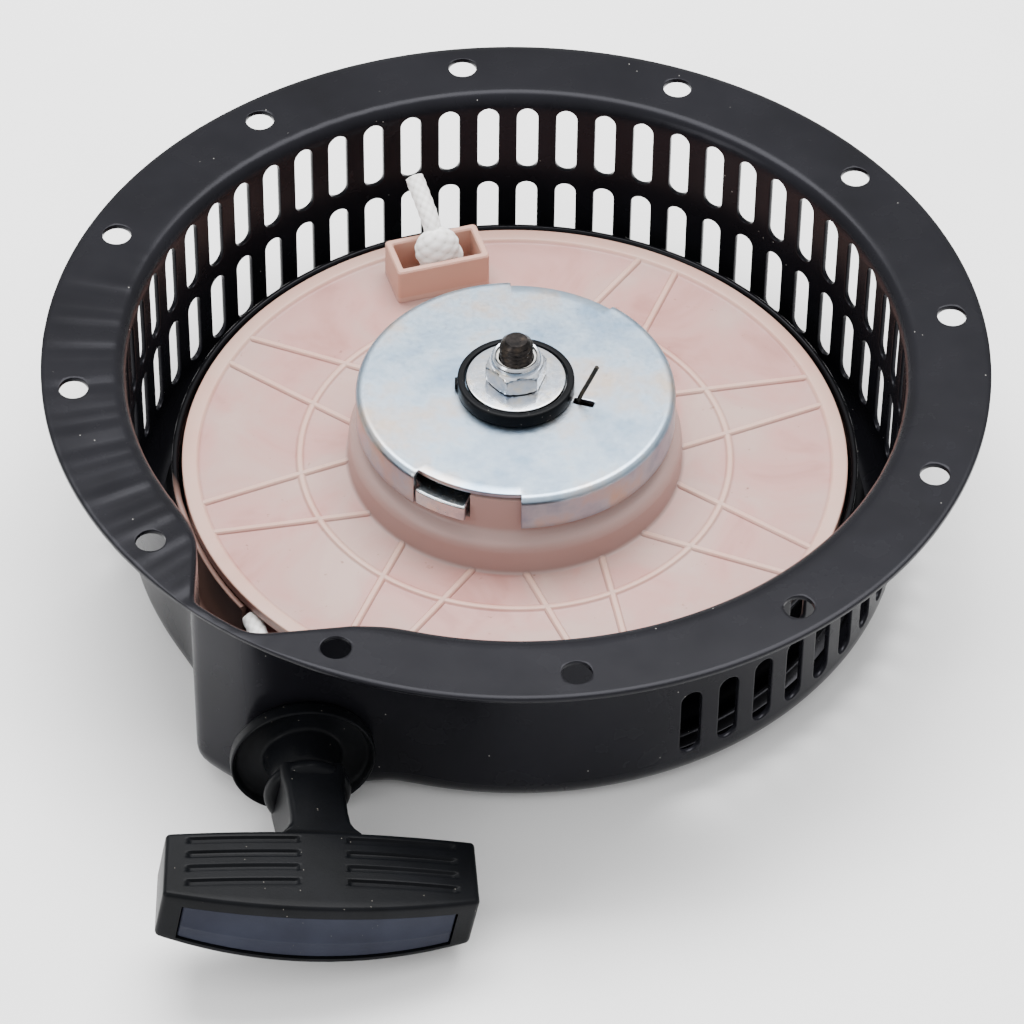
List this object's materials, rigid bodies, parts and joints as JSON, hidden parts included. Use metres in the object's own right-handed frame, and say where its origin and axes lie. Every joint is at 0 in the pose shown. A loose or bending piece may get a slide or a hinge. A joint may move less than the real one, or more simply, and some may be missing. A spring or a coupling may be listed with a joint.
{
  "type": "recoil starter",
  "caption": "Recoil starter for a small engine: slotted flanged housing, spring-loaded rope reel with pawls under a friction plate, and a T handle on a pull rope",
  "frame": {"origin": "centre of the housing's closed face, on the shaft line, in the plane the unit rests on when laid face down", "axes": "+Z along the shaft from the closed face towards the flange and the engine, +Y horizontal and away from the pull handle, +X to the right seen from the flange side"},
  "size_m": [0.2249, 0.2631, 0.0609],
  "materials": {
    "black_paint": "semi-gloss black paint on pressed steel",
    "guard_paint": "gloss black paint",
    "pink_nylon": "satin moulded nylon, mottled pink",
    "zinc_plate": "bluish zinc plating on pressed sheet",
    "bright_zinc": "bright zinc plating",
    "dark_steel": "blackened spring steel",
    "sintered_steel": "sintered steel",
    "white_rope": "braided nylon cord",
    "black_plastic": "satin black moulding",
    "cap_plastic": "satin blue-grey moulding",
    "white_nylon": "white nylon"
  },
  "bodies": {
    "case": {"housing": "black_paint", "rope_guard": "guard_paint", "centre_post": "dark_steel", "mainspring": "dark_steel", "rope_run": "white_rope", "rope_guide": "black_plastic", "guide_retainer": "dark_steel", "friction_ring": "black_plastic", "wave_washer": "bright_zinc", "top_washer": "bright_zinc", "lock_nut": "bright_zinc", "nut_insert": "white_nylon"},
    "reel_body": {"reel": "pink_nylon", "rope_winding": "white_rope", "rope_knot": "white_rope", "spring_cover": "zinc_plate", "pawl_pin_a": "bright_zinc", "pawl_pin_b": "bright_zinc"},
    "plate_body": {"friction_plate": "zinc_plate", "return_spring": "dark_steel"},
    "pawl_a_body": {"pawl_a": "sintered_steel"},
    "pawl_b_body": {"pawl_b": "sintered_steel"},
    "handle": {"handle_grip": "black_plastic", "handle_cap": "cap_plastic", "handle_rope": "white_rope", "handle_knot": "white_rope", "knot_washer": "bright_zinc"}
  },
  "joints": [
    {"name": "reel_spin", "type": "hinge", "parent": "case", "child": "reel_body", "pos_m": [0, 0, 0.03], "axis": [0, 0, 1], "range_deg": [0, 1080]},
    {"name": "handle_pull", "type": "slide", "parent": "case", "child": "handle", "axis": [0.1392, -0.9903, 0], "range_m": [0, 1.281]},
    {"name": "plate_turn", "type": "hinge", "parent": "reel_body", "child": "plate_body", "pos_m": [0, 0, 0.044], "axis": [0, 0, 1], "range_deg": [-19, 0]},
    {"name": "pawl_a_swing", "type": "hinge", "parent": "reel_body", "child": "pawl_a_body", "pos_m": [-0.02705, -0.00725, 0.038], "axis": [0, 0, 1], "range_deg": [-13, 0]},
    {"name": "pawl_b_swing", "type": "hinge", "parent": "reel_body", "child": "pawl_b_body", "pos_m": [0.02705, 0.00725, 0.038], "axis": [0, 0, 1], "range_deg": [-13, 0]}
  ],
  "couplings": [
    {"joint": "handle_pull", "follows": "reel_spin", "m_per_rad": 0.0679},
    {"joint": "pawl_a_swing", "follows": "plate_turn", "ratio": 0.68},
    {"joint": "pawl_b_swing", "follows": "plate_turn", "ratio": 0.68}
  ]
}
